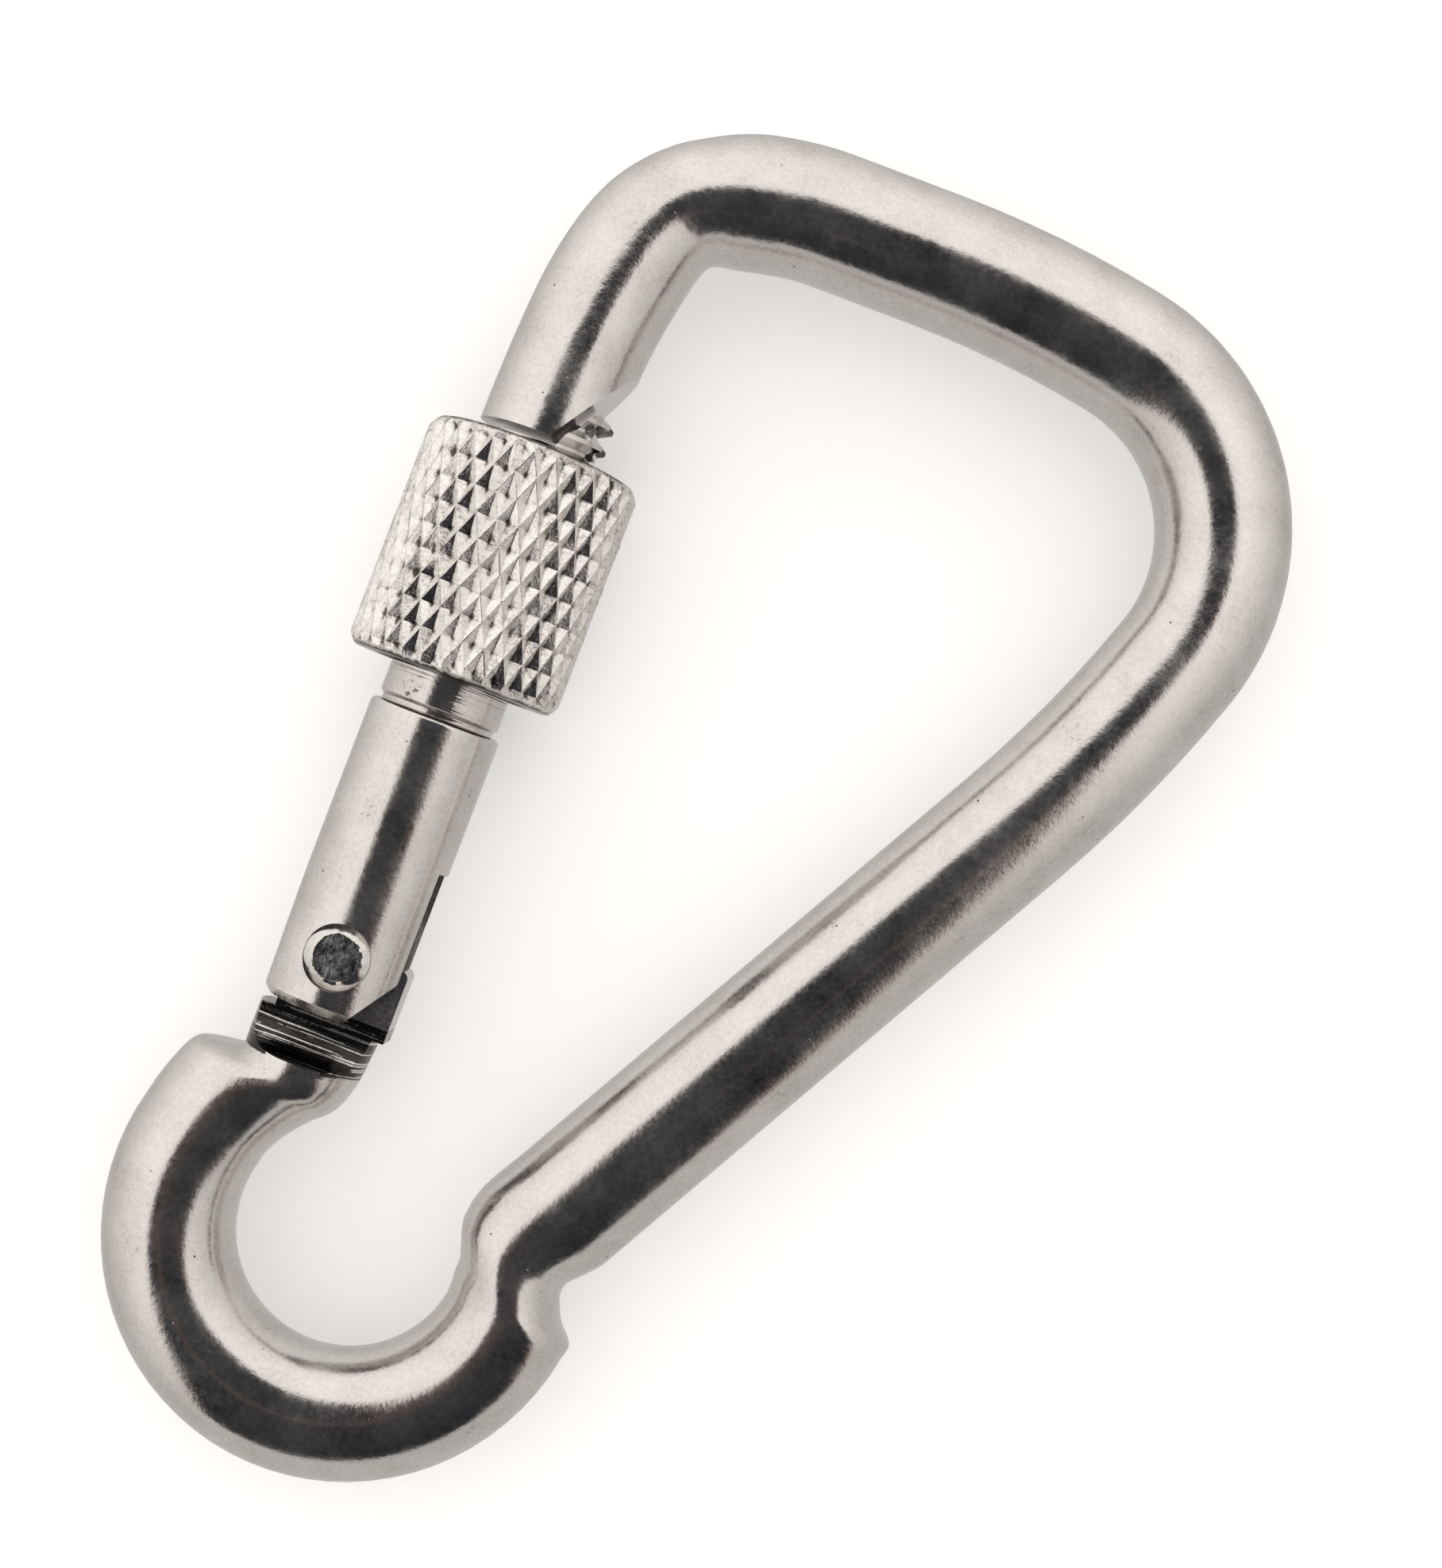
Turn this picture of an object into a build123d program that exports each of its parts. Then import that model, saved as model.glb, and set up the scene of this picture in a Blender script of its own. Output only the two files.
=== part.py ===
from build123d import *
import math
import os

# A screw-lock spring hook bent from round stainless wire: a small fixed eye at one end, a wide
# bow at the other, and a sprung gate between them that a knurled sleeve locks.
# Millimetres. The origin is the centre of the small eye, +Y runs along the closed gate towards
# the nose, +X points from the gate to the spine, and +Z is square to the plane of the hook.

# --- wire and overall shape ---
WIRE_D = 6.0
EYE_BORE_D = 10.1
EYE_WIRE_W = WIRE_D - 0.2
SPINE_HEADING = 60.9
LEAD_IN_R = 57.0
LEAD_IN_TURN = 10.4
BEND_R = 9.3
LEAD_OUT_R = 49.0
LEAD_OUT_TURN = 10.9
TOP_LEG_END_X = 8.5
TOP_LEG_RISE = 13.77

# --- hinge, and the height of the nose tip above it ---
HINGE_X = -4.5
HINGE_Y = 11.35
NOSE_TIP_Y = 24.3
RIVET_D = 2.4
RIVET_HEAD_D = RIVET_D + 0.5
RIVET_HEAD_H = 0.25
HINGE_CLEARANCE = 0.03

# --- tang, the flat end of the wire inside the fork ---
TANG_T = 2.35
TANG_HEEL_X = 3.05
TANG_HEEL_TOP = 0.3
TANG_HEEL_R = 0.35
TANG_SIDE_X = 2.5
TANG_SHOULDER_Y = -3.0
TANG_RUNOUT_R = 1.9
CAM_R = 2.6
CAM_OFFSET = 0.9

# --- gate, measured from the hinge along its own axis ---
GATE_D = WIRE_D - 0.04
FORK_BOTTOM = -2.6
FORK_CORNER = 0.4
FORK_BACK_X = 0.3 - GATE_D / 2
FORK_TAPER_TOP = 5.0
FORK_CHAMFER_X = 1.2
FORK_CHAMFER_Y = -0.3
FORK_CHAMFER_TOP_X = 2.75
FORK_WEB = 0.6
SLOT_CLEARANCE = 0.05
SLOT_ROOF = 4.8
SHOULDER_Y = NOSE_TIP_Y - 13.1
SHOULDER_R = 0.3
NECK_D = GATE_D - 0.5
NECK_GROOVE_W = 0.2
NECK_GROOVE_DEPTH = 0.16
THREAD_START = NOSE_TIP_Y - 10.05
THREAD_D = WIRE_D - 0.1
THREAD_ROOT_D = THREAD_D - 1.1
THREAD_PITCH = 1.0
THREAD_CREST_W = 0.2
THREAD_SLOPE = 31.0
THREAD_OVERLAP = 0.1
THREAD_CREST_Y = 0.5

# --- nose and the latch between nose and gate ---
NOSE_W = WIRE_D - 0.14
NOSE_CUT_ANGLE = 31.4
NOSE_CUT_X = 0.6
NOSE_GAP = 0.35
TIP_GAP = 0.3
GATE_TIP_Y = NOSE_TIP_Y + 1.9
LATCH_PIN_D = 0.6
LATCH_PIN_X = 1.95
LATCH_PIN_Y = NOSE_TIP_Y + 0.9
LATCH_PIN_LENGTH = 3.2
LATCH_CLEARANCE = 0.1
LATCH_SLOT_FLOOR = NOSE_TIP_Y - 0.7
TONGUE_T = 2.0
TONGUE_REACH_X = 2.45
TONGUE_TOP = LATCH_PIN_Y + 0.2

# --- spring and plunger in the gate ---
BORE_D = 2.1
BORE_TOP = NOSE_TIP_Y - 9.1
PLUNGER_D = 2.0
PLUNGER_HEAD_H = 3.4
PLUNGER_STEM_D = 0.95
PLUNGER_STEM_H = 3.0
CAM_CLEARANCE = 0.05
SPRING_WIRE_D = 0.32
SPRING_OUTER_D = 1.98
SPRING_TURNS = 9

# --- locking sleeve ---
SLEEVE_D = WIRE_D + 3.76
SLEEVE_BOTTOM = NOSE_TIP_Y - 11.32
SLEEVE_LENGTH = 10.68
SLEEVE_EDGE_R = 0.35
SLEEVE_BAND_INSET = 0.12
SLEEVE_PLAIN_END = 0.45
THREAD_CLEARANCE = 0.08
SLEEVE_NUT_LENGTH = 5.0
SLEEVE_LOWER_BORE_D = WIRE_D + 1.0
SLEEVE_LOWER_DEPTH = 2.7
SLEEVE_UPPER_BORE_D = WIRE_D + 0.9

EYE_CENTRE_R = EYE_BORE_D / 2 + EYE_WIRE_W / 2
TANG_BORE_D = RIVET_D
RIVET_LENGTH = GATE_D - 0.32
GATE_BORE_D = RIVET_D + 2 * HINGE_CLEARANCE
SLOT_W = TANG_T + 2 * SLOT_CLEARANCE
HINGE = Location((HINGE_X, HINGE_Y, 0))
BIG = 60.0


def unit(angle):
    return Vector(math.cos(math.radians(angle)), math.sin(math.radians(angle)))


def from_hinge(x, y):
    return Vector(HINGE_X + x, HINGE_Y + y)


def wire_section(centre, heading, width):
    """The wire's outline where it passes centre, with its width in the plane of the hook."""
    across = unit(heading - 90)
    plane = Plane(origin=centre, x_dir=across, z_dir=unit(heading))
    return plane * Ellipse(width / 2, WIRE_D / 2)


def from_nose(x, rise):
    """A place from the gate's axis, and above the tip of the nose."""
    return from_hinge(x, NOSE_TIP_Y + rise)


def arc_run(radius, heading, turn):
    """How far a left-hand bend carries the wire."""
    start, end = math.radians(heading), math.radians(heading + turn)
    return radius * Vector(math.sin(end) - math.sin(start), math.cos(start) - math.cos(end))


def spine_and_bow(foot):
    """One bend of full round wire: the straight spine, the big bow and the top leg."""
    leg_end = from_nose(TOP_LEG_END_X, TOP_LEG_RISE)
    bend_turn = 180 - SPINE_HEADING - LEAD_IN_TURN - LEAD_OUT_TURN
    bends = ((LEAD_IN_R, LEAD_IN_TURN), (BEND_R, bend_turn), (LEAD_OUT_R, LEAD_OUT_TURN))
    rise = 0
    heading = SPINE_HEADING
    for radius, turn in bends:
        rise += arc_run(radius, heading, turn).Y
        heading += turn
    spine_length = (leg_end.Y - foot.Y - rise) / unit(SPINE_HEADING).Y
    path = [Line(foot, foot + spine_length * unit(SPINE_HEADING))]
    heading = SPINE_HEADING
    for radius, turn in bends:
        centre = (path[-1] @ 1) + radius * unit(heading + 90)
        path.append(CenterArc(centre, radius, heading - 90, turn))
        heading += turn
    path.append(Line(path[-1] @ 1, leg_end))
    tube = sweep(wire_section(foot, SPINE_HEADING, WIRE_D), path=Wire(path))
    return tube, leg_end


def eye_ring(start, size):
    path = CenterArc((0, 0), EYE_CENTRE_R, start, size)
    return sweep(wire_section(path @ 0, start + 90, EYE_WIRE_W), path=path)


def blend_along(stations, steps=4):
    """A loft through the wire's outline at each station of x, y, heading and width."""
    ends = []
    for here, there in ((0, 1), (-2, -1)):
        chord = math.dist(stations[here][:2], stations[there][:2])
        heading = stations[0 if here == 0 else -1][2]
        along = chord * unit(heading)
        ends.append([along.X, along.Y, 0, 0])
    slopes = [ends[0]]
    for before, after in zip(stations, stations[2:]):
        slopes.append([(b - a) / 2 for a, b in zip(before, after)])
    slopes.append(ends[1])
    sections = []
    for i in range(len(stations) - 1):
        for k in range(steps):
            t = k / steps
            weights = (
                2 * t**3 - 3 * t**2 + 1,
                t**3 - 2 * t**2 + t,
                3 * t**2 - 2 * t**3,
                t**3 - t**2,
            )
            rows = zip(stations[i], slopes[i], stations[i + 1], slopes[i + 1])
            x, y, heading, width = (sum(w * v for w, v in zip(weights, row)) for row in rows)
            sections.append(wire_section(Vector(x, y), heading, width))
    x, y, heading, width = stations[-1]
    sections.append(wire_section(Vector(x, y), heading, width))
    return loft(sections)


def station(point, heading, width):
    return (point.X, point.Y, heading, width)


def second_bend(top_leg_end):
    """The tight bend from the top leg down to the nose, squeezed where it turns."""
    w = WIRE_D
    return blend_along(
        [
            station(top_leg_end, 180, w),
            station(from_nose(5.30, 13.33), 187, 1.01 * w),
            station(from_nose(3.25, 12.60), 207, 0.93 * w),
            station(from_nose(1.95, 11.58), 234, 0.925 * w),
            station(from_nose(1.13, 10.15), 258, 0.975 * w),
            station(from_nose(0.55, 7.80), 267, w),
            station(from_nose(0.18, 4.70), 269, 0.98 * w),
            station(from_nose(0.04, 0), 270, NOSE_W),
        ]
    )


def spine_jog():
    """The short set from the eye out to the spine, pinched by the tool that made it."""
    w = WIRE_D
    start = -10
    ring_end = EYE_CENTRE_R * unit(start)
    foot = ring_end + Vector(0.64, 5.72)
    run = blend_along(
        [
            station(ring_end, start + 90, EYE_WIRE_W),
            station(ring_end + Vector(0.03, 0.86), 77, 1.0 * w),
            station(ring_end + Vector(-0.28, 1.50), 77, 0.89 * w),
            station(ring_end + Vector(-0.63, 2.40), 81, 0.83 * w),
            station(ring_end + Vector(-0.70, 3.28), 78, 0.90 * w),
            station(ring_end + Vector(-0.25, 4.33), 70, 0.98 * w),
            station(foot, SPINE_HEADING, w),
        ]
    )
    return run, foot, start


def hinge_jog():
    """The short set from the eye in to the hinge, and the round stub of the tang above it."""
    w = WIRE_D
    start = 165
    run = blend_along(
        [
            station(EYE_CENTRE_R * unit(start), start - 90, EYE_WIRE_W),
            station(from_hinge(-2.92, -8.30), 68, 0.97 * w),
            station(from_hinge(-2.33, -7.08), 64, 0.99 * w),
            station(from_hinge(-1.55, -6.38), 70, 0.97 * w),
            station(from_hinge(-0.50, -5.95), 72, 0.84 * w),
            station(from_hinge(-0.20, -5.25), 79, 0.87 * w),
            station(from_hinge(-0.07, -4.15), 87, 0.90 * w),
        ]
    )
    stub = loft(
        [
            wire_section(from_hinge(-0.07, -4.15), 87, 0.90 * w),
            wire_section(from_hinge(TANG_HEEL_X - 0.485 * w, TANG_HEEL_TOP), 90, 0.97 * w),
            wire_section(from_hinge(TANG_HEEL_X - 0.485 * w, 4.00), 90, 0.97 * w),
        ],
        ruled=True,
    )
    return run, stub, start


def plate(outline, thickness):
    """A flat outline given about the hinge, made into a plate centred on the hook's plane."""
    return HINGE * extrude(outline, thickness / 2, both=True)


def corner_box(x0, x1, y0, y1):
    return Pos((x0 + x1) / 2, (y0 + y1) / 2) * Rectangle(x1 - x0, y1 - y0)


def nose_cut_x(y, gap=0.0):
    """Where the nose's oblique cut, or a face gap away from it, stands at height y."""
    slope = math.tan(math.radians(NOSE_CUT_ANGLE))
    return NOSE_CUT_X + (y - NOSE_TIP_Y) * slope + gap / math.cos(math.radians(NOSE_CUT_ANGLE))


def tang(stub):
    """The flat end of the wire: its heel, and the cam that lifts the plunger."""
    back_x = FORK_BACK_X + FORK_WEB + 2 * SLOT_CLEARANCE
    low = TANG_HEEL_TOP - TANG_HEEL_R
    heel_x = TANG_HEEL_X - TANG_HEEL_R
    heel = Polygon(
        (back_x, TANG_SHOULDER_Y),
        (TANG_HEEL_X, TANG_SHOULDER_Y),
        (TANG_HEEL_X, low),
        (heel_x, TANG_HEEL_TOP),
        (back_x, TANG_HEEL_TOP),
        align=None,
    )
    corner = Pos(heel_x, low) * Circle(TANG_HEEL_R)
    cam = Pos(CAM_OFFSET, 0) * Circle(CAM_R) & corner_box(-CAM_R, TANG_SIDE_X, low, 2 * CAM_R)
    return stub & plate(heel + corner + cam, TANG_T)


def runouts():
    """The hollows in which the milled sides of the tang end."""
    hollows = Part()
    for side in (1, -1):
        axis_z = side * (TANG_T / 2 + TANG_RUNOUT_R)
        hollow = Pos(0, TANG_SHOULDER_Y, axis_z) * Rot(0, 90, 0) * Cylinder(TANG_RUNOUT_R, 2 * WIRE_D)
        hollows += HINGE * hollow
    return hollows


def latch_tongue():
    """The lip on the nose that hooks under the latch pin, open towards the spine."""
    seat_x = LATCH_PIN_X - LATCH_PIN_D / 2 - LATCH_CLEARANCE
    lip_top = LATCH_PIN_Y - LATCH_PIN_D / 2 - LATCH_CLEARANCE
    root_x = NOSE_CUT_X - 1
    outline = Polygon(
        (root_x, NOSE_TIP_Y),
        (TONGUE_REACH_X, NOSE_TIP_Y),
        (TONGUE_REACH_X, lip_top),
        (seat_x, lip_top),
        (seat_x, TONGUE_TOP),
        (root_x, TONGUE_TOP),
        align=None,
    )
    return plate(outline, TONGUE_T)


def hook_body():
    spine_set, foot, ring_end = spine_jog()
    tube, leg_end = spine_and_bow(foot)
    hinge_set, stub, ring_start = hinge_jog()
    ring = eye_ring(ring_start, 360 + ring_end - ring_start)
    body = tube
    above = Pos(0, TANG_SHOULDER_Y + BIG / 4, 0) * Box(BIG / 4, BIG / 2, BIG / 4)
    hinge_end = hinge_set.fuse(stub) - HINGE * above - runouts()
    hinge_end = hinge_end + tang(stub) - HINGE * Cylinder(TANG_BORE_D / 2, 2 * WIRE_D)
    for piece in (spine_set, ring, hinge_end, second_bend(leg_end)):
        body = body.fuse(piece)
    past = NOSE_TIP_Y + NOSE_W + 0.8
    cut = Polygon(
        (nose_cut_x(NOSE_TIP_Y - 1), NOSE_TIP_Y - 1),
        (BIG / 4, NOSE_TIP_Y - 1),
        (BIG / 4, past),
        (nose_cut_x(past), past),
        align=None,
    )
    body = body - plate(cut, 2 * WIRE_D)
    return body + latch_tongue()


def hinge_rivet():
    shank = Cylinder(RIVET_D / 2, RIVET_LENGTH)
    head = Cylinder(RIVET_HEAD_D / 2, RIVET_HEAD_H)
    head = chamfer(head.edges().group_by(Axis.Z)[-1], RIVET_HEAD_H / 2)
    rivet = shank
    for turn in (0, 180):
        rivet += Rot(turn, 0, 0) * Pos(0, 0, (RIVET_LENGTH - RIVET_HEAD_H) / 2) * head
    return HINGE * rivet


def thread_ridge():
    """The ridge wound round the gate's threaded end, trimmed square at both ends."""
    root_r = THREAD_ROOT_D / 2
    depth = (THREAD_D - THREAD_ROOT_D) / 2
    start = NOSE_TIP_Y + THREAD_CREST_Y - 12 * THREAD_PITCH
    turns = 15
    path = Helix(THREAD_PITCH, turns * THREAD_PITCH, root_r, center=(0, start, 0), direction=(0, 1, 0))
    outward = Vector((path @ 0).X, 0, (path @ 0).Z).normalized()
    turn_to_spine = math.degrees(math.atan2(outward.Z, outward.X))
    plane = Plane(origin=path @ 0, x_dir=outward, z_dir=path % 0)
    half_crest = THREAD_CREST_W / 2
    half_root = half_crest + depth * math.tan(math.radians(THREAD_SLOPE))
    profile = Polygon(
        (-THREAD_OVERLAP, -half_root),
        (0, -half_root),
        (depth, -half_crest),
        (depth, half_crest),
        (0, half_root),
        (-THREAD_OVERLAP, half_root),
        align=None,
    )
    ridge = Rot(0, turn_to_spine, 0) * sweep(plane * profile, path=path, is_frenet=True)
    length = GATE_TIP_Y - THREAD_START
    return ridge & (Pos(0, THREAD_START + length / 2, 0) * Rot(90, 0, 0) * Cylinder(THREAD_D, length))


def gate_blank():
    """The turned bar: fork, main section, grooved neck and threaded end."""
    r = GATE_D / 2
    neck_r = NECK_D / 2
    groove_r = neck_r - NECK_GROOVE_DEPTH
    with BuildSketch() as profile:
        with BuildLine():
            Polyline(
                (0, FORK_BOTTOM),
                (r - FORK_CORNER, FORK_BOTTOM),
                (r, FORK_BOTTOM + FORK_CORNER),
                (r, SHOULDER_Y - SHOULDER_R),
            )
            RadiusArc((r, SHOULDER_Y - SHOULDER_R), (r - SHOULDER_R, SHOULDER_Y), -SHOULDER_R)
            Polyline(
                (r - SHOULDER_R, SHOULDER_Y),
                (groove_r, SHOULDER_Y),
                (groove_r, SHOULDER_Y + NECK_GROOVE_W),
                (neck_r, SHOULDER_Y + NECK_GROOVE_W + NECK_GROOVE_DEPTH),
                (neck_r, THREAD_START - 0.2),
                (THREAD_ROOT_D / 2, THREAD_START),
                (THREAD_ROOT_D / 2, GATE_TIP_Y),
                (0, GATE_TIP_Y),
                (0, FORK_BOTTOM),
            )
        make_face()
    return revolve(profile.sketch, Axis.Y)


def tip_cuts():
    """The oblique face under the nose and the slot for its lip, cut from the gate's threaded end."""
    floor = NOSE_TIP_Y - TIP_GAP
    tip = Polygon(
        (-BIG / 8, floor),
        (nose_cut_x(floor, NOSE_GAP), floor),
        (nose_cut_x(GATE_TIP_Y + 2, NOSE_GAP), GATE_TIP_Y + 2),
        (-BIG / 8, GATE_TIP_Y + 2),
        align=None,
    )
    slot = corner_box(-BIG / 8, BIG / 8, LATCH_SLOT_FLOOR, GATE_TIP_Y + 1)
    return plate(tip, 2 * GATE_D) + plate(slot, TONGUE_T + 2 * LATCH_CLEARANCE)


def gate_lever():
    gate = HINGE * gate_blank()
    slot = corner_box(FORK_BACK_X + FORK_WEB, BIG / 8, FORK_BOTTOM - 2, SLOT_ROOF)
    gate -= plate(slot, SLOT_W)
    back = Polygon(
        (-GATE_D / 2, FORK_TAPER_TOP),
        (FORK_BACK_X, FORK_BOTTOM),
        (FORK_BACK_X, FORK_BOTTOM - 1),
        (-BIG / 8, FORK_BOTTOM - 1),
        (-BIG / 8, FORK_TAPER_TOP),
        align=None,
    )
    gate -= plate(back, 2 * GATE_D)
    foot = Polygon(
        (FORK_CHAMFER_X, FORK_BOTTOM),
        (FORK_CHAMFER_TOP_X, FORK_CHAMFER_Y),
        (BIG / 8, FORK_CHAMFER_Y),
        (BIG / 8, FORK_BOTTOM - 1),
        (FORK_CHAMFER_X, FORK_BOTTOM - 1),
        align=None,
    )
    gate -= plate(foot, 2 * GATE_D)
    gate -= tip_cuts()
    gate -= HINGE * Cylinder(GATE_BORE_D / 2, 2 * GATE_D)
    sink_r = RIVET_HEAD_D / 2 + HINGE_CLEARANCE
    sink_z = RIVET_LENGTH / 2 - RIVET_HEAD_H - HINGE_CLEARANCE
    for side in (1, -1):
        gate -= HINGE * Pos(0, 0, side * (sink_z + GATE_D / 2)) * Cylinder(sink_r, GATE_D)
    bore_length = BORE_TOP - SLOT_ROOF + 1
    gate -= HINGE * Pos(0, BORE_TOP - bore_length / 2, 0) * Rot(90, 0, 0) * Cylinder(BORE_D / 2, bore_length)
    ridge = HINGE * thread_ridge() - tip_cuts()
    return gate + ridge - latch_pin()


def latch_pin():
    return HINGE * Pos(LATCH_PIN_X, LATCH_PIN_Y) * Cylinder(LATCH_PIN_D / 2, LATCH_PIN_LENGTH)


def plunger_foot():
    """Height of the plunger's lowest point above the hinge, resting on the cam."""
    reach = CAM_R + PLUNGER_D / 2
    return math.sqrt(reach**2 - CAM_OFFSET**2) + CAM_CLEARANCE - PLUNGER_D / 2


def spring_plunger():
    r = PLUNGER_D / 2
    foot = plunger_foot()
    head_length = PLUNGER_HEAD_H - r
    head = Pos(0, foot + r + head_length / 2, 0) * Rot(90, 0, 0) * Cylinder(r, head_length)
    nose = Pos(0, foot + r, 0) * Sphere(r)
    stem_y = foot + PLUNGER_HEAD_H + PLUNGER_STEM_H / 2
    stem = Pos(0, stem_y, 0) * Rot(90, 0, 0) * Cylinder(PLUNGER_STEM_D / 2, PLUNGER_STEM_H)
    return HINGE * (head + nose + stem)


def gate_spring():
    coil_r = (SPRING_OUTER_D - SPRING_WIRE_D) / 2
    seat = SPRING_WIRE_D / 2 + 0.02
    low = plunger_foot() + PLUNGER_HEAD_H + seat
    height = BORE_TOP - seat - low
    path = Helix(height / SPRING_TURNS, height, coil_r, center=(0, low, 0), direction=(0, 1, 0))
    outward = Vector((path @ 0).X, 0, (path @ 0).Z).normalized()
    plane = Plane(origin=path @ 0, x_dir=outward, z_dir=path % 0)
    return HINGE * sweep(plane * Circle(SPRING_WIRE_D / 2), path=path, is_frenet=True)


def lock_sleeve():
    top = SLEEVE_BOTTOM + SLEEVE_LENGTH
    r = SLEEVE_D / 2
    band_r = r - SLEEVE_BAND_INSET
    nut_r = THREAD_D / 2 + THREAD_CLEARANCE
    low_r = SLEEVE_LOWER_BORE_D / 2
    high_r = SLEEVE_UPPER_BORE_D / 2
    nut_low = SLEEVE_BOTTOM + SLEEVE_LOWER_DEPTH
    nut_high = nut_low + SLEEVE_NUT_LENGTH
    e = SLEEVE_EDGE_R
    with BuildSketch() as profile:
        with BuildLine():
            Polyline(
                (nut_r, nut_low),
                (low_r, nut_low),
                (low_r, SLEEVE_BOTTOM),
                (band_r - e, SLEEVE_BOTTOM),
            )
            RadiusArc((band_r - e, SLEEVE_BOTTOM), (band_r, SLEEVE_BOTTOM + e), -e)
            Polyline(
                (band_r, SLEEVE_BOTTOM + e),
                (r, SLEEVE_BOTTOM + SLEEVE_PLAIN_END + SLEEVE_BAND_INSET),
                (r, top - SLEEVE_PLAIN_END - SLEEVE_BAND_INSET),
                (band_r, top - e),
            )
            RadiusArc((band_r, top - e), (band_r - e, top), -e)
            Polyline(
                (band_r - e, top),
                (high_r, top),
                (high_r, nut_high),
                (nut_r, nut_high),
                (nut_r, nut_low),
            )
        make_face()
    return HINGE * revolve(profile.sketch, Axis.Y)


def main():
    os.makedirs("parts", exist_ok=True)
    makers = (
        hook_body,
        hinge_rivet,
        gate_lever,
        latch_pin,
        spring_plunger,
        gate_spring,
        lock_sleeve,
    )
    for maker in makers:
        export_step(maker(), f"parts/{maker.__name__}.step")


main()
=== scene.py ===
import math

import bmesh
import bpy
from mathutils import Matrix, Vector


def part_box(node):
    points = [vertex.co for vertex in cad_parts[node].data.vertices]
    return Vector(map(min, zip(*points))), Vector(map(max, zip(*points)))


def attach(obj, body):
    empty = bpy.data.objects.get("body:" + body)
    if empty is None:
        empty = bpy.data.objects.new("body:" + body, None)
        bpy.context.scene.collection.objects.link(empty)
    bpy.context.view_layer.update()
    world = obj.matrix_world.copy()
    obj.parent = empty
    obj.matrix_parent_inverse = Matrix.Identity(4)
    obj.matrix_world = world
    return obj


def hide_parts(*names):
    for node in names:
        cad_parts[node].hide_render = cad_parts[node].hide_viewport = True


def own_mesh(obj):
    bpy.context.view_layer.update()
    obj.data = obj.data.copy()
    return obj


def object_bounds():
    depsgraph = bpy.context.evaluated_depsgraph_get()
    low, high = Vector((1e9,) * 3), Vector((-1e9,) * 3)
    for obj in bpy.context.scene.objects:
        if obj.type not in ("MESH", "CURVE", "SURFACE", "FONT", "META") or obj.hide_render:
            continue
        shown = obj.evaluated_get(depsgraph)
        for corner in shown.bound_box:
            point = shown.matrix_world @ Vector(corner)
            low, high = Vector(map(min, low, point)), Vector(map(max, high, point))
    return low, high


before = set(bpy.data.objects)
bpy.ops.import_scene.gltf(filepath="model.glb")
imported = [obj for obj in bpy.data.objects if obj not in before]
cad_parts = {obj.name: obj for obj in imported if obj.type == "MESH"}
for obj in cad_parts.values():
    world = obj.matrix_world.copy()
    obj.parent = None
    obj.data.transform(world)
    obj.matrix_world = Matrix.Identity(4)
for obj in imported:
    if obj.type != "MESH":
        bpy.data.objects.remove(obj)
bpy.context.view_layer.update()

MM = 0.001

# the gate's own axis runs along Y through the middle of the rivet
rivet_low, rivet_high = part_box("hinge_rivet")
GATE_X = (rivet_low.x + rivet_high.x) / 2
HINGE_Y = (rivet_low.y + rivet_high.y) / 2

# --------------------------------------------------------------------------
# camera: straight above the keyring, which lies on its flat side
# --------------------------------------------------------------------------
LOOK_AT = Vector((8.31 * MM, 24.25 * MM, 0.0))
CAMERA_HEIGHT = 105 * MM
FIELD_WIDTH = 63.8 * MM
TURN = math.radians(20.74)
TILT = math.radians(1.14)
LEAN = math.radians(-0.3)


def place_camera():
    turn = (
        Matrix.Rotation(TURN, 3, "Z")
        @ Matrix.Rotation(LEAN, 3, "Y")
        @ Matrix.Rotation(TILT, 3, "X")
    )
    lens = bpy.data.cameras.new("camera")
    camera = bpy.data.objects.new("camera", lens)
    bpy.context.scene.collection.objects.link(camera)
    lens.sensor_fit = "HORIZONTAL"
    lens.sensor_width = 36.0
    lens.lens = 36.0 * CAMERA_HEIGHT / FIELD_WIDTH
    lens.clip_start = 0.005
    lens.clip_end = 20.0
    camera.location = LOOK_AT + turn @ Vector((0.0, 0.0, CAMERA_HEIGHT))
    camera.rotation_euler = turn.to_euler()
    bpy.context.scene.camera = camera


place_camera()


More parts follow.
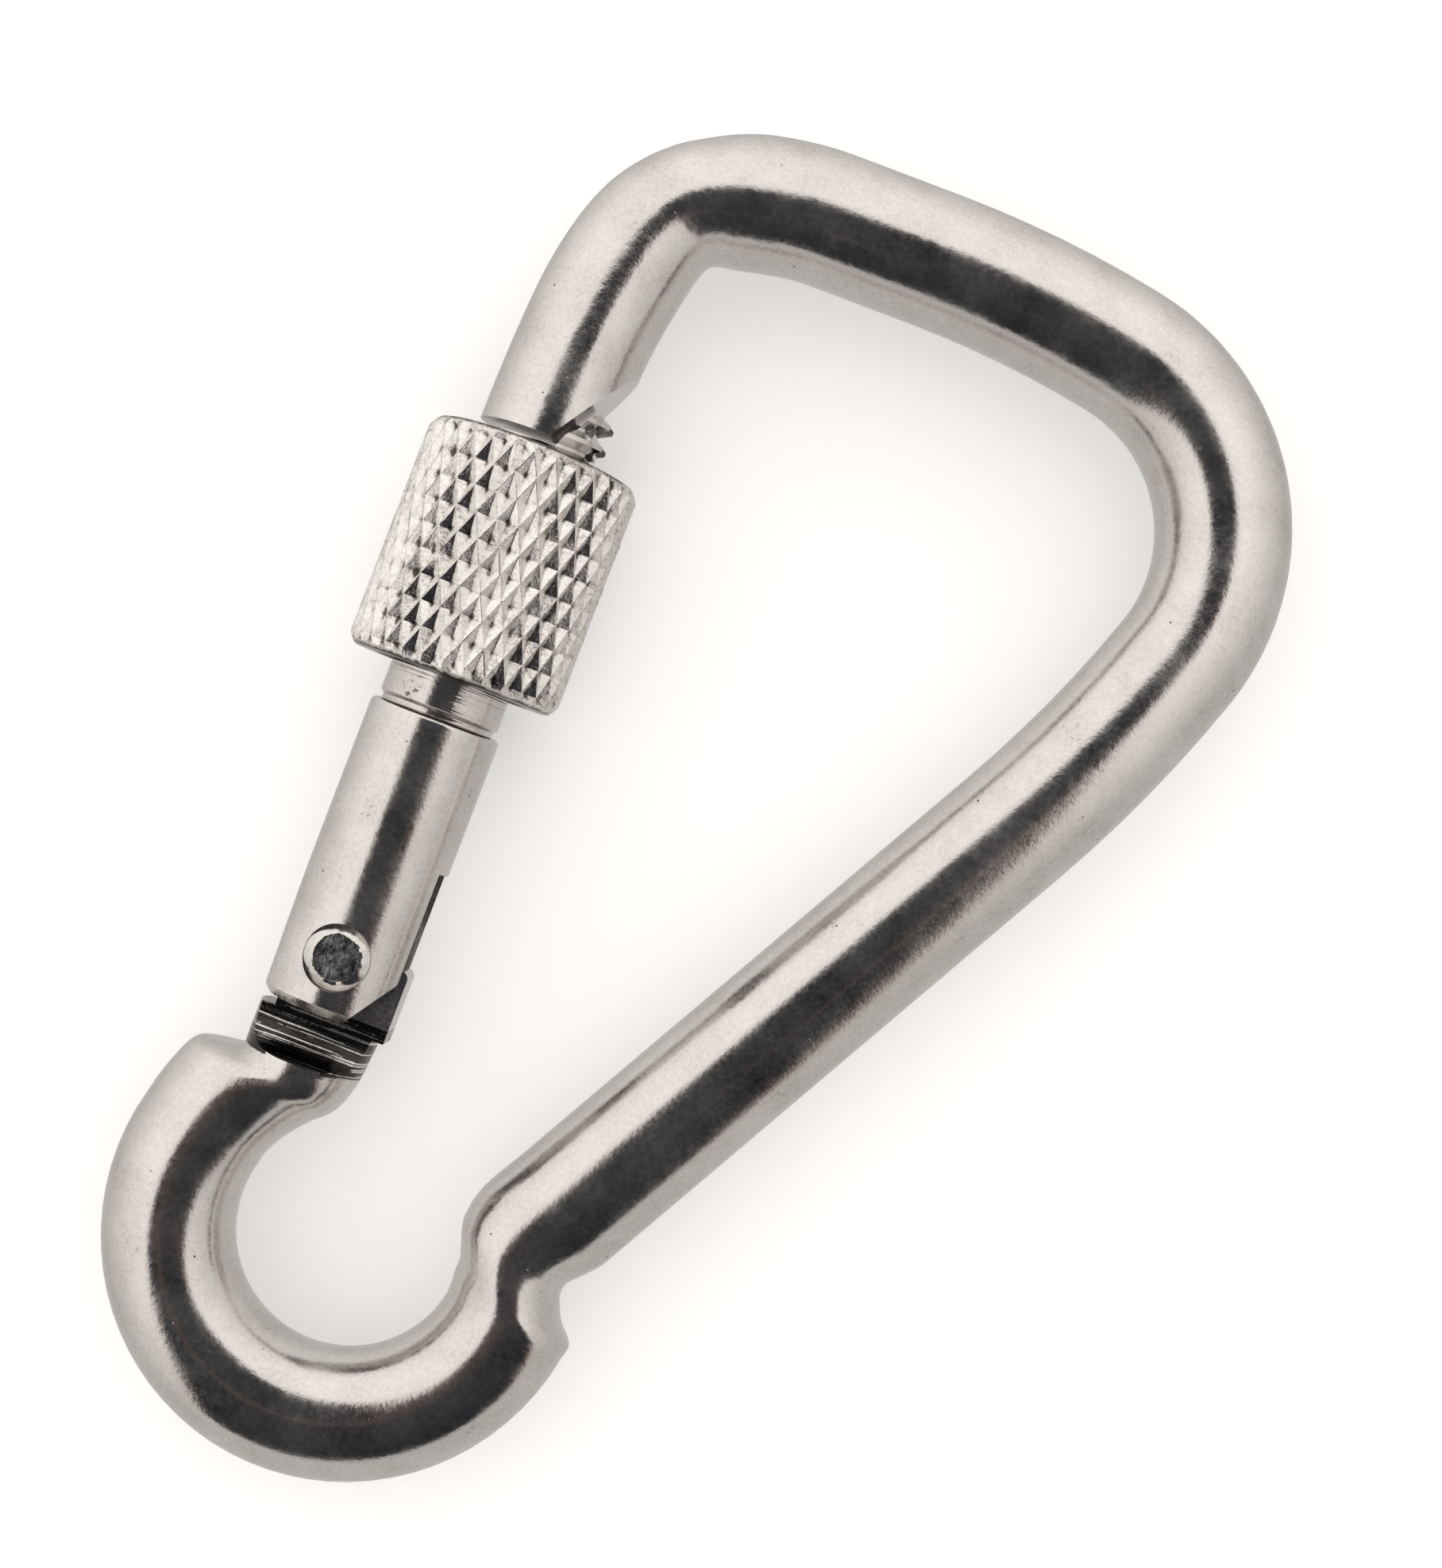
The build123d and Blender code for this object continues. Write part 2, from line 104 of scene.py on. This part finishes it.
# --------------------------------------------------------------------------
# node helpers
# --------------------------------------------------------------------------
class Shop:
    """A material's nodes, added one after another. Noise and pit scales are in patches per metre."""

    def __init__(self, name):
        self.material = bpy.data.materials.new(name)
        self.material.use_nodes = True
        self.nodes = self.material.node_tree.nodes
        self.links = self.material.node_tree.links
        self.shader = self.nodes["Principled BSDF"]
        self.place = self.nodes.new("ShaderNodeTexCoord").outputs["Object"]

    def join(self, start, end):
        self.links.new(start, end)

    def axis(self, letter):
        node = self.nodes.new("ShaderNodeSeparateXYZ")
        self.join(self.place, node.inputs["Vector"])
        return node.outputs[letter]

    def scaled(self, size):
        node = self.nodes.new("ShaderNodeMapping")
        node.inputs["Scale"].default_value = size
        self.join(self.place, node.inputs["Vector"])
        return node.outputs["Vector"]

    def noise(self, scale, detail=3.0, rough=0.55, place=None):
        node = self.nodes.new("ShaderNodeTexNoise")
        node.inputs["Scale"].default_value = scale
        node.inputs["Detail"].default_value = detail
        node.inputs["Roughness"].default_value = rough
        self.join(place or self.place, node.inputs["Vector"])
        return node.outputs["Fac"]

    def pits(self, scale):
        node = self.nodes.new("ShaderNodeTexVoronoi")
        node.inputs["Scale"].default_value = scale
        self.join(self.place, node.inputs["Vector"])
        return node.outputs["Distance"]

    def ramp(self, source, low, high, start, end):
        """Goes from start to end as the source goes from low to high, and stays level outside."""
        node = self.nodes.new("ShaderNodeMapRange")
        node.inputs["From Min"].default_value = low
        node.inputs["From Max"].default_value = high
        node.inputs["To Min"].default_value = start
        node.inputs["To Max"].default_value = end
        self.join(source, node.inputs["Value"])
        return node.outputs["Result"]

    def worked(self, kind, first, second):
        node = self.nodes.new("ShaderNodeMath")
        node.operation = kind
        self.join(first, node.inputs[0])
        self.join(second, node.inputs[1])
        return node.outputs["Value"]

    def plus(self, first, second):
        return self.worked("ADD", first, second)

    def minus(self, first, second):
        return self.worked("SUBTRACT", first, second)

    def times(self, first, second):
        return self.worked("MULTIPLY", first, second)

    def shifted(self, source, distance):
        node = self.nodes.new("ShaderNodeMath")
        node.operation = "ADD"
        node.inputs[1].default_value = distance
        self.join(source, node.inputs[0])
        return node.outputs["Value"]

    def colours(self, source, stops):
        node = self.nodes.new("ShaderNodeValToRGB")
        band = node.color_ramp
        band.elements[0].position, band.elements[0].color = stops[0][0], stops[0][1]
        band.elements[1].position, band.elements[1].color = stops[-1][0], stops[-1][1]
        for at, colour in stops[1:-1]:
            band.elements.new(at).color = colour
        self.join(source, node.inputs["Fac"])
        return node.outputs["Color"]

    def bump(self, height, depth, strength=1.0, under=None):
        node = self.nodes.new("ShaderNodeBump")
        node.inputs["Distance"].default_value = depth
        node.inputs["Strength"].default_value = strength
        self.join(height, node.inputs["Height"])
        if under is not None:
            self.join(under, node.inputs["Normal"])
        return node.outputs["Normal"]


def rgb(red, green, blue):
    return (red, green, blue, 1.0)


def window(shop, letter, edges):
    """1 between the two middle edges along that axis and 0 outside the outer two, in millimetres."""
    low, in_low, in_high, high = edges
    along = shop.axis(letter)
    rise = shop.ramp(along, low * MM, in_low * MM, 0.0, 1.0)
    fall = shop.ramp(along, in_high * MM, high * MM, 1.0, 0.0)
    return shop.times(rise, fall)


# stretches that a cutter left in rings, as the four edges of a window
HOOK_RUN_OUT = (6.2, 6.4, 8.9, 9.1)
GATE_NECK = (22.5, 22.6, 25.6, 25.8)
# the rings stay under the wire's own skin, and off the spine beside the gate
CUT_DEPTH = (-2.75, -2.6, 2.6, 2.75)
GATE_SIDE = (-9.6, -9.4, 0.4, 0.6)


def cutter_rings(shop, stretch):
    """Fine rings across the gate's axis, within a stretch along Y and near the gate."""
    near_gate = shop.times(window(shop, "X", GATE_SIDE), window(shop, "Z", CUT_DEPTH))
    rings = shop.noise(1.0, 1.5, 0.6, shop.scaled((190.0, 9500.0, 190.0)))
    return shop.times(rings, shop.times(window(shop, "Y", stretch), near_gate))


def tumbled_wire(name, stretch=None, soot=0.0):
    """Bright tumbled stainless: a soft mirror with fine grain, pits and cloudy patches.
    Rings cross it along the stretch, and soot is how much dirt they hold, from 0 to 1."""
    shop = Shop(name)
    clouds = shop.noise(420.0, 4.0, 0.6)
    mottle = shop.noise(5200.0, 3.0, 0.7)
    fine = shop.noise(11000.0, 2.0, 0.6)
    tone = shop.plus(shop.ramp(clouds, 0.3, 0.7, 0.0, 0.5), shop.ramp(mottle, 0.3, 0.7, 0.0, 0.5))
    specks = shop.ramp(shop.pits(1150.0), 0.03, 0.075, 1.0, 0.0)
    rare = shop.ramp(shop.noise(2300.0, 2.0), 0.52, 0.60, 0.0, 1.0)
    dirt = shop.times(specks, rare)
    tone = shop.minus(tone, dirt)
    ripple = shop.noise(2600.0, 3.0, 0.6)
    if stretch:
        rings = cutter_rings(shop, stretch)
        tone = shop.minus(tone, shop.ramp(rings, 0.34, 0.50, 0.0, soot))
    colour = shop.colours(
        tone,
        [
            (0.0, rgb(0.05, 0.048, 0.046)),
            (0.12, rgb(0.60, 0.57, 0.545)),
            (0.40, rgb(0.69, 0.66, 0.635)),
            (0.85, rgb(0.79, 0.765, 0.74)),
        ],
    )
    shop.join(colour, shop.shader.inputs["Base Color"])
    shop.shader.inputs["Metallic"].default_value = 1.0
    gloss = shop.plus(shop.ramp(clouds, 0.3, 0.7, 0.10, 0.19), shop.ramp(mottle, 0.3, 0.7, 0.0, 0.07))
    shop.join(gloss, shop.shader.inputs["Roughness"])
    skin = shop.bump(ripple, 0.006 * MM, 0.8)
    skin = shop.bump(mottle, 0.0032 * MM, 0.9, skin)
    skin = shop.bump(fine, 0.0012 * MM, 0.9, skin)
    skin = shop.bump(shop.ramp(dirt, 0.0, 1.0, 1.0, 0.0), 0.012 * MM, 0.8, skin)
    if stretch:
        skin = shop.bump(rings, 0.030 * MM, 1.0, skin)
    shop.join(skin, shop.shader.inputs["Normal"])
    return shop.material


# painted shade: the pits of the knurl are darkest at the first radius and unshaded by the second
PIT_SHADE_DARKEST_R = 4.55 * MM
PIT_SHADE_ENDS_R = 4.70 * MM


def painted_pit_shade(shop):
    """Painted shade in the knurl's pits: how much darker the sleeve is, from its distance to the gate's
    axis.
    """
    across = shop.shifted(shop.axis("X"), -GATE_X)
    above = shop.axis("Z")
    square = shop.plus(shop.times(across, across), shop.times(above, above))
    return shop.ramp(square, PIT_SHADE_DARKEST_R**2, PIT_SHADE_ENDS_R**2, 0.80, 0.0)


def plated_steel():
    """Nickel plate over cut steel: a sharper mirror than the wire, with tiny burrs from the knurling wheel
    and painted shade darkening the pits."""
    shop = Shop("nickel_plate")
    clouds = shop.noise(900.0, 3.0, 0.6)
    burr = shop.noise(4200.0, 4.0, 0.75)
    # painted shade: the knurl's pit floors are darkened by depth, patchy with the burrs
    shade_in_pits = shop.times(painted_pit_shade(shop), shop.ramp(burr, 0.3, 0.6, 0.4, 1.0))
    metal = shop.plus(shop.ramp(clouds, 0.3, 0.7, 0.0, 0.4), shop.ramp(burr, 0.35, 0.65, 0.0, 0.6))
    tone = shop.colours(
        shop.minus(metal, shade_in_pits),
        [
            (0.0, rgb(0.10, 0.09, 0.08)),
            (0.20, rgb(0.62, 0.59, 0.55)),
            (0.45, rgb(0.84, 0.815, 0.78)),
            (0.95, rgb(0.94, 0.92, 0.89)),
        ],
    )
    shop.join(tone, shop.shader.inputs["Base Color"])
    shop.shader.inputs["Metallic"].default_value = 1.0
    shop.join(shop.ramp(clouds, 0.3, 0.7, 0.07, 0.15), shop.shader.inputs["Roughness"])
    shop.join(shop.bump(burr, 0.030 * MM, 1.0), shop.shader.inputs["Normal"])
    return shop.material


def raw_pin_end():
    """The sheared end of the rivet: dark, lumpy and dull."""
    shop = Shop("sheared_pin_end")
    lumps = shop.noise(2400.0, 4.0, 0.6)
    tone = shop.colours(lumps, [(0.35, rgb(0.08, 0.08, 0.085)), (0.66, rgb(0.36, 0.36, 0.37))])
    shop.join(tone, shop.shader.inputs["Base Color"])
    shop.shader.inputs["Metallic"].default_value = 1.0
    shop.join(shop.ramp(lumps, 0.3, 0.7, 0.22, 0.42), shop.shader.inputs["Roughness"])
    shop.join(shop.bump(lumps, 0.07 * MM, 1.0), shop.shader.inputs["Normal"])
    return shop.material


hook_steel = tumbled_wire("tumbled_stainless_wire", HOOK_RUN_OUT, 0.9)
gate_steel = tumbled_wire("turned_stainless_bar", GATE_NECK, 0.12)
rivet_steel = tumbled_wire("peened_stainless_pin")
inner_steel = tumbled_wire("drawn_spring_steel")
plate = plated_steel()
pin_end = raw_pin_end()
finishes = {
    "hook_body": hook_steel,
    "gate_lever": gate_steel,
    "hinge_rivet": rivet_steel,
    "latch_pin": rivet_steel,
    "spring_plunger": inner_steel,
    "gate_spring": inner_steel,
    "lock_sleeve": plate,
}
for name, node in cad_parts.items():
    node.data.materials.clear()
    node.data.materials.append(finishes[name])


# --------------------------------------------------------------------------
# shaping helpers
# --------------------------------------------------------------------------
def pick(test, kind="VERT"):
    """Selects the corners, edges or faces that pass the test, and nothing else."""
    bpy.ops.mesh.select_mode(type=kind)
    bpy.ops.mesh.select_all(action="DESELECT")
    mesh = bpy.context.edit_object.data
    cage = bmesh.from_edit_mesh(mesh)
    for part in {"VERT": cage.verts, "EDGE": cage.edges, "FACE": cage.faces}[kind]:
        if test(part):
            part.select_set(True)
    bmesh.update_edit_mesh(mesh)


def turned(name, centre, axis, rings, sides, closed=True):
    """A turned part about an axis through centre, from rings of (distance along the axis, radius).
    It is left in edit mode. Unless closed, both of its ends are open."""
    bpy.ops.object.select_all(action="DESELECT")
    along = Vector(axis)
    tilt = Vector((0.0, 0.0, 1.0)).rotation_difference(along).to_euler()
    start, radius = rings[0]
    bpy.ops.mesh.primitive_circle_add(
        vertices=sides,
        radius=radius * MM,
        location=Vector(centre) + along * start * MM,
        rotation=tilt,
    )
    piece = bpy.context.object
    piece.name = name
    bpy.ops.object.transform_apply(location=True, rotation=True, scale=True)
    bpy.ops.object.mode_set(mode="EDIT")
    bpy.ops.mesh.select_all(action="SELECT")
    path = rings + rings[:1] if closed else rings
    for before, after in zip(path, path[1:]):
        step = along * (after[0] - before[0]) * MM
        bpy.ops.mesh.extrude_region_move(TRANSFORM_OT_translate={"value": step})
        if after[1] != before[1]:
            ratio = after[1] / before[1]
            value = [1.0 if abs(part) > 0.5 else ratio for part in along]
            hub = Vector(centre) + along * after[0] * MM
            bpy.ops.transform.resize(value=value, center_override=hub)
    bpy.ops.mesh.select_all(action="SELECT")
    bpy.ops.mesh.remove_doubles(threshold=1e-6)
    bpy.ops.mesh.normals_make_consistent(inside=False)
    return piece


def finished(piece, body, finish, angle=35.0):
    """Leaves edit mode, smooths the rounded parts, and gives the piece its finish and its body."""
    bpy.ops.object.mode_set(mode="OBJECT")
    bpy.ops.object.select_all(action="DESELECT")
    piece.select_set(True)
    bpy.context.view_layer.objects.active = piece
    bpy.ops.object.shade_smooth_by_angle(angle=math.radians(angle))
    piece.data.materials.clear()
    piece.data.materials.append(finish)
    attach(piece, body)


# --------------------------------------------------------------------------
# lock sleeve, with its diamond knurl
# --------------------------------------------------------------------------
sleeve_low, sleeve_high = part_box("lock_sleeve")
SLEEVE_START = sleeve_low.y / MM
SLEEVE_END = sleeve_high.y / MM
SLEEVE_R = (sleeve_high.x - sleeve_low.x) / 2 / MM
# the rounded shoulder at each end, as (distance in from the end, radius)
SHOULDER = [(0.0, 4.42), (0.05, 4.56), (0.20, 4.70)]
TAIL_BORE_R = 3.50
THREAD_BORE_R = 3.03
NOSE_BORE_R = 3.45
THREAD_BORE_START = SLEEVE_START + 2.70
THREAD_BORE_END = SLEEVE_START + 7.70
BORE_CHAMFER = 0.12
KNURL_MARGIN = 0.50
KNURL_COLUMNS = 32
KNURL_ROWS = 9
KNURL_DEPTH = 0.32
KNURL_FLAT = 0.05
RIDGE_BEVEL = 0.022
WHEEL_WOBBLE = 0.010
# a corner this far out is on the outside of the sleeve
OUTSIDE_R = 4.5


def knurl_rings():
    length = SLEEVE_END - SLEEVE_START - 2 * KNURL_MARGIN
    first = SLEEVE_START + KNURL_MARGIN
    return [first + length * row / KNURL_ROWS for row in range(KNURL_ROWS + 1)]


def knurled_sleeve():
    rows = knurl_rings()
    rings = [(SLEEVE_START, TAIL_BORE_R + BORE_CHAMFER)]
    rings += [(SLEEVE_START + inset, radius) for inset, radius in SHOULDER]
    rings += [(y, SLEEVE_R) for y in rows]
    rings += [(SLEEVE_END - inset, radius) for inset, radius in reversed(SHOULDER)]
    rings += [
        (SLEEVE_END, NOSE_BORE_R + BORE_CHAMFER),
        (SLEEVE_END - BORE_CHAMFER, NOSE_BORE_R),
        (THREAD_BORE_END, NOSE_BORE_R),
        (THREAD_BORE_END, THREAD_BORE_R),
        (THREAD_BORE_START, THREAD_BORE_R),
        (THREAD_BORE_START, TAIL_BORE_R),
        (SLEEVE_START + BORE_CHAMFER, TAIL_BORE_R),
    ]
    piece = turned("knurled_sleeve", (GATE_X, 0.0, 0.0), (0.0, 1.0, 0.0), rings, 2 * KNURL_COLUMNS)

    def column(corner):
        turn = math.atan2(corner.co.z, corner.co.x - GATE_X)
        return round(turn / math.pi * KNURL_COLUMNS)

    def row(corner):
        for index, y in enumerate(rows):
            if abs(corner.co.y - y * MM) < 1e-5:
                return index
        return None

    def outside(corner):
        return math.hypot(corner.co.x - GATE_X, corner.co.z) > OUTSIDE_R * MM

    def between(corner, margin):
        return rows[0] * MM + margin < corner.co.y < rows[-1] * MM - margin

    def on_knurl(corner):
        return outside(corner) and row(corner) is not None

    def pit_floor(corner):
        return on_knurl(corner) and (column(corner) + row(corner)) % 2 == 1

    # every other corner sinks to a pit, and the long diagonals keep whole ridges between the pits
    pick(pit_floor)
    sink = (SLEEVE_R - KNURL_DEPTH) / SLEEVE_R
    bpy.ops.transform.resize(value=(sink, 1.0, sink), center_override=(GATE_X, 0.0, 0.0))
    pick(lambda face: all(on_knurl(corner) for corner in face.verts), "FACE")
    bpy.ops.mesh.quads_convert_to_tris(quad_method="LONGEST_DIAGONAL")

    # where ridges cross, the top is flattened
    pick(lambda corner: on_knurl(corner) and not pit_floor(corner) and 0 < row(corner) < KNURL_ROWS)
    bpy.ops.mesh.bevel(offset=KNURL_FLAT * MM, segments=1, affect="VERTICES")

    # every edge is rounded, and the wheel never runs quite true
    pick(lambda edge: all(outside(corner) and between(corner, -1e-6) for corner in edge.verts), "EDGE")
    bpy.ops.mesh.bevel(offset=RIDGE_BEVEL * MM, segments=2, affect="EDGES")
    pick(lambda corner: outside(corner) and between(corner, 1e-5))
    bpy.ops.transform.vertex_random(offset=WHEEL_WOBBLE * MM, uniform=1.0, normal=0.0, seed=4)
    finished(piece, "sleeve", plate, 20.0)
    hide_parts("lock_sleeve")


knurled_sleeve()


# --------------------------------------------------------------------------
# hinge rivet, with a peened ring round a sheared end
# --------------------------------------------------------------------------
# from the sheared end, over the peened ring and in to the shank, as (height, radius)
RIVET_HALF = [
    (2.72, 1.00),
    (2.86, 1.03),
    (2.85, 1.09),
    (2.77, 1.22),
    (2.67, 1.37),
    (2.61, 1.45),
    (2.52, 1.46),
    (2.52, 1.20),
]
# the ring's rough part is above this height and within this radius
ROUGH_HEIGHT = 2.74
ROUGH_R = 1.3
HAMMER_MARKS = 0.026


def peened_rivet():
    rings = [(-z, r) for z, r in RIVET_HALF] + RIVET_HALF[::-1]
    piece = turned("peened_rivet", (GATE_X, HINGE_Y, 0.0), (0.0, 0.0, 1.0), rings, 64, closed=False)
    end_height = RIVET_HALF[0][0] * MM
    for level in (-end_height, end_height):
        pick(lambda edge: all(abs(corner.co.z - level) < 1e-6 for corner in edge.verts), "EDGE")
        bpy.ops.mesh.edge_face_add()
    bpy.ops.mesh.select_all(action="SELECT")
    bpy.ops.mesh.normals_make_consistent(inside=False)

    def on_rough_ring(corner):
        out = math.hypot(corner.co.x - GATE_X, corner.co.y - HINGE_Y)
        return abs(corner.co.z) > ROUGH_HEIGHT * MM and out < ROUGH_R * MM

    pick(on_rough_ring)
    bpy.ops.transform.vertex_random(offset=HAMMER_MARKS * MM, uniform=1.0, normal=0.0, seed=7)
    finished(piece, "hook", rivet_steel, 40.0)
    piece.data.materials.append(pin_end)
    for face in piece.data.polygons:
        if len(face.vertices) > 4:
            face.material_index = 1
    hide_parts("hinge_rivet")


peened_rivet()


# --------------------------------------------------------------------------
# gate spring, as a fixed coil; the real one shortens as the plunger rises
# --------------------------------------------------------------------------
SPRING_TURNS = 9
SPRING_STEPS = 24
SPRING_WIRE_R = 0.16 * MM


def coil_spring():
    low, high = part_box("gate_spring")
    coil_r = (high.x - low.x) / 2 - SPRING_WIRE_R
    rise = high.y - low.y - 2 * SPRING_WIRE_R
    bpy.ops.object.select_all(action="DESELECT")
    bpy.ops.mesh.primitive_circle_add(vertices=10, radius=SPRING_WIRE_R, location=(GATE_X, 0.0, 0.0))
    piece = bpy.context.object
    piece.name = "coil_spring"
    bpy.ops.object.mode_set(mode="EDIT")
    bpy.ops.mesh.select_all(action="SELECT")
    bpy.ops.transform.translate(value=(coil_r, low.y + SPRING_WIRE_R, 0.0))
    bpy.ops.object.mode_set(mode="OBJECT")
    coil = piece.modifiers.new("coil", "SCREW")
    coil.axis = "Y"
    coil.screw_offset = rise / SPRING_TURNS
    coil.iterations = SPRING_TURNS
    coil.steps = SPRING_STEPS
    coil.render_steps = SPRING_STEPS
    bpy.ops.object.modifier_apply(modifier=coil.name)
    bpy.ops.object.transform_apply(location=True, rotation=True, scale=True)
    bpy.ops.object.mode_set(mode="EDIT")
    bpy.ops.mesh.select_all(action="SELECT")
    bpy.ops.mesh.remove_doubles(threshold=1e-7)
    bpy.ops.mesh.select_all(action="SELECT")
    bpy.ops.mesh.fill_holes(sides=0)
    bpy.ops.mesh.select_all(action="SELECT")
    bpy.ops.mesh.normals_make_consistent(inside=False)
    finished(piece, "gate", inner_steel, 50.0)
    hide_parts("gate_spring")
    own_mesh(piece)


coil_spring()

# --------------------------------------------------------------------------
# floor and light
# --------------------------------------------------------------------------
FLOOR_GAP = 0.02 * MM
FLOOR_SIZE = 6.0
FLOOR_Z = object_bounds()[0].z - FLOOR_GAP


def pale_floor():
    bpy.ops.object.select_all(action="DESELECT")
    bpy.ops.mesh.primitive_plane_add(size=FLOOR_SIZE, location=(0.0, 0.0, FLOOR_Z))
    floor = bpy.context.object
    floor.name = "floor"
    shop = Shop("pale_paper")
    shop.join(shop.ramp(shop.noise(30.0), 0.3, 0.7, 0.955, 0.975), shop.shader.inputs["Base Color"])
    shop.shader.inputs["Roughness"].default_value = 0.9
    shop.shader.inputs["Emission Color"].default_value = rgb(1.0, 1.0, 1.0)
    shop.shader.inputs["Emission Strength"].default_value = 0.22
    floor.data.materials.append(shop.material)
    floor.visible_glossy = False


pale_floor()


def studio_point(right, up, height):
    """A place in the studio, in millimetres to the camera's right, its up side and above the table."""
    turned_by = Matrix.Rotation(TURN, 3, "Z")
    return Vector((LOOK_AT.x, LOOK_AT.y, 0.0)) + turned_by @ Vector((right, up, height)) * MM


def flag(name, corners, cloth):
    """A card that only the bright metal sees. It takes no light from the floor."""
    mesh = bpy.data.meshes.new(name)
    mesh.from_pydata([studio_point(*corner) for corner in corners], [], [list(range(len(corners)))])
    card = bpy.data.objects.new(name, mesh)
    bpy.context.scene.collection.objects.link(card)
    card.visible_camera = False
    card.visible_diffuse = False
    card.visible_shadow = False
    card.data.materials.append(cloth)


def cloth(name, red, green, blue):
    shop = Shop(name)
    shop.shader.inputs["Base Color"].default_value = rgb(0.0, 0.0, 0.0)
    shop.shader.inputs["Roughness"].default_value = 1.0
    shop.shader.inputs["Specular IOR Level"].default_value = 0.0
    shop.shader.inputs["Emission Color"].default_value = rgb(red, green, blue)
    shop.shader.inputs["Emission Strength"].default_value = 1.0
    return shop.material


# the black hood round the lens, and the black curtain that runs from it down the room
HOOD_HEIGHT = 106
HOOD_RIGHT = 44
HOOD_UP = 46
CURTAIN = [(-38, 0, 107), (-330, -410, 112), (270, -410, 112), (38, 0, 107)]
# the brown hems of both show just past their edges, a little higher up
HOOD_HEM = (HOOD_RIGHT + 5, HOOD_UP + 1, HOOD_HEIGHT + 1)
CURTAIN_HEM = [(-40, 0, 108), (-345, -410, 113), (300, -410, 113), (44, 0, 108)]
OVAL_CORNERS = 32
OVAL_FULLNESS = 0.8
black_cloth = cloth("black_cloth", 0.016, 0.017, 0.022)
brown_cloth = cloth("brown_cloth", 0.20, 0.12, 0.085)


def fuller(part):
    """Pushes a circle's sine or cosine outwards a little, so that the oval has fuller corners."""
    return math.copysign(abs(part) ** OVAL_FULLNESS, part)


def oval(right, up, height):
    turns = [2 * math.pi * corner / OVAL_CORNERS for corner in range(OVAL_CORNERS)]
    return [(right * fuller(math.cos(turn)), up * fuller(math.sin(turn)), height) for turn in turns]


flag("lens_hood", oval(HOOD_RIGHT, HOOD_UP, HOOD_HEIGHT), black_cloth)
flag("hood_edge", oval(*HOOD_HEM), brown_cloth)
flag("black_curtain", CURTAIN, black_cloth)
flag("curtain_edge", CURTAIN_HEM, brown_cloth)


# the way to the brightest part of the tent: to the camera's right, its up side and above the table
TENT_TOP = Vector((-0.10, 0.35, 0.55))


def studio():
    """A white tent, brightest above and towards the bow, and greyest below the table."""
    world = bpy.data.worlds.new("studio")
    bpy.context.scene.world = world
    world.use_nodes = True
    nodes = world.node_tree.nodes
    links = world.node_tree.links
    where = nodes.new("ShaderNodeTexCoord")
    towards = nodes.new("ShaderNodeVectorMath")
    towards.operation = "DOT_PRODUCT"
    towards.inputs[1].default_value = Matrix.Rotation(TURN, 3, "Z") @ TENT_TOP
    links.new(where.outputs["Generated"], towards.inputs[0])
    spread = nodes.new("ShaderNodeMapRange")
    spread.inputs["From Min"].default_value = -0.25
    spread.inputs["From Max"].default_value = 0.50
    links.new(towards.outputs["Value"], spread.inputs["Value"])
    tent = nodes.new("ShaderNodeValToRGB")
    band = tent.color_ramp
    band.elements[0].position, band.elements[0].color = 0.0, rgb(0.52, 0.505, 0.485)
    band.elements[1].position, band.elements[1].color = 1.0, rgb(1.0, 0.97, 0.94)
    band.elements.new(0.55).color = rgb(0.74, 0.72, 0.695)
    links.new(spread.outputs["Result"], tent.inputs["Fac"])
    links.new(tent.outputs["Color"], nodes["Background"].inputs["Color"])
    nodes["Background"].inputs["Strength"].default_value = 1.12


studio()
bpy.context.scene.view_settings.view_transform = "Standard"
